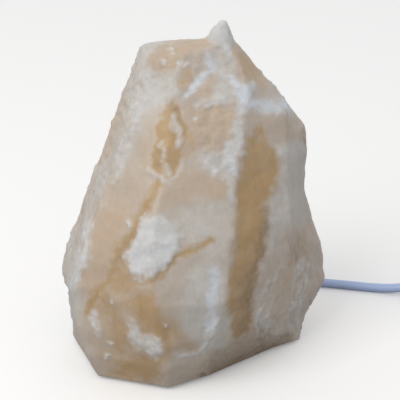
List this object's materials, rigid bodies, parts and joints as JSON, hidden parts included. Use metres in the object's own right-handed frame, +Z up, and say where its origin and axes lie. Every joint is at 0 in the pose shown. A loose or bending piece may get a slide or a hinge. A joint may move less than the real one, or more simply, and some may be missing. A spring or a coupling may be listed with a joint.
{
  "type": "salt crystal lamp",
  "caption": "Rough rock-salt lump, bored from below over a small screw lampholder on spring clips, with a switched cord and flat two-pin plug.",
  "frame": {"origin": "on the table, under the axis of the bore and the middle of the lump", "axes": "+Z up along the bore; front, the side the picture shows, towards -Y; +X to the viewer's right, where the cord leaves"},
  "size_m": [0.3335, 0.1441, 0.194],
  "materials": {
    "rock_salt": "rough, cleaved, slightly translucent",
    "foot_rubber": "matte",
    "holder_plastic": "smooth moulded",
    "carrier_resin": "matte moulded",
    "brass": "stamped",
    "screw_steel": "zinc plated",
    "spring_steel": "stamped strip",
    "solder": "dull",
    "glass": "clear",
    "filament_wire": "drawn wire",
    "cord_sheath": "smooth extruded sheath",
    "live_core_sheath": "smooth",
    "neutral_core_sheath": "smooth",
    "switch_plastic": "fine moulded",
    "plug_plastic": "fine moulded",
    "pin_metal": "nickel plated",
    "pin_sleeve": "smooth"
  },
  "bodies": {
    "light_unit": {"holder_dome": "holder_plastic", "holder_skirt": "holder_plastic", "contact_carrier": "carrier_resin", "screw_shell": "brass", "centre_contact": "brass", "live_terminal": "brass", "neutral_terminal": "brass", "terminal_screws": "screw_steel", "cord_grip": "holder_plastic", "grip_screw": "holder_plastic", "grip_nut": "holder_plastic", "clip_disc": "spring_steel", "spring_clip_1": "spring_steel", "spring_clip_2": "spring_steel", "spring_clip_3": "spring_steel", "clip_rivets": "screw_steel", "shade_ring": "holder_plastic", "cord_in_holder": "cord_sheath", "live_core": "live_core_sheath", "neutral_core": "neutral_core_sheath", "cord_lead": "cord_sheath", "cord_link": "cord_sheath", "cord_coil": "cord_sheath", "cord_tail": "cord_sheath", "switch_base": "switch_plastic", "switch_cover": "switch_plastic", "switch_terminals": "brass", "neutral_link": "brass", "switch_clamps": "spring_steel", "clamp_screws": "screw_steel", "switch_screws": "screw_steel", "cord_in_switch": "cord_sheath", "switch_live_cores": "live_core_sheath", "switch_neutral_cores": "neutral_core_sheath", "plug_body": "plug_plastic", "plug_pins": "pin_metal", "plug_pin_sleeves": "pin_sleeve"},
    "crystal": {"salt_crystal": "rock_salt", "foot_front": "foot_rubber", "foot_right": "foot_rubber", "foot_back": "foot_rubber", "foot_left": "foot_rubber"},
    "bulb": {"bulb_cap": "brass", "bulb_insulator": "carrier_resin", "bulb_tip": "solder", "bulb_glass": "glass", "glass_stem": "glass", "lead_wires": "filament_wire", "filament": "filament_wire"},
    "switch_rocker": {"rocker": "switch_plastic", "contact_bridge": "brass"}
  },
  "joints": [
    {"name": "crystal_lift", "type": "slide", "parent": "light_unit", "child": "crystal", "axis": [0, 0, 1], "range_m": [0, 0.12]},
    {"name": "bulb_out", "type": "slide", "parent": "light_unit", "child": "bulb", "axis": [0, 0, 1], "range_m": [0, 0.016]},
    {"name": "rocker_tilt", "type": "hinge", "parent": "light_unit", "child": "switch_rocker", "pos_m": [0.1825, 0.056, 0.0146], "axis": [0, 1, 0], "range_deg": [0, 24]}
  ]
}
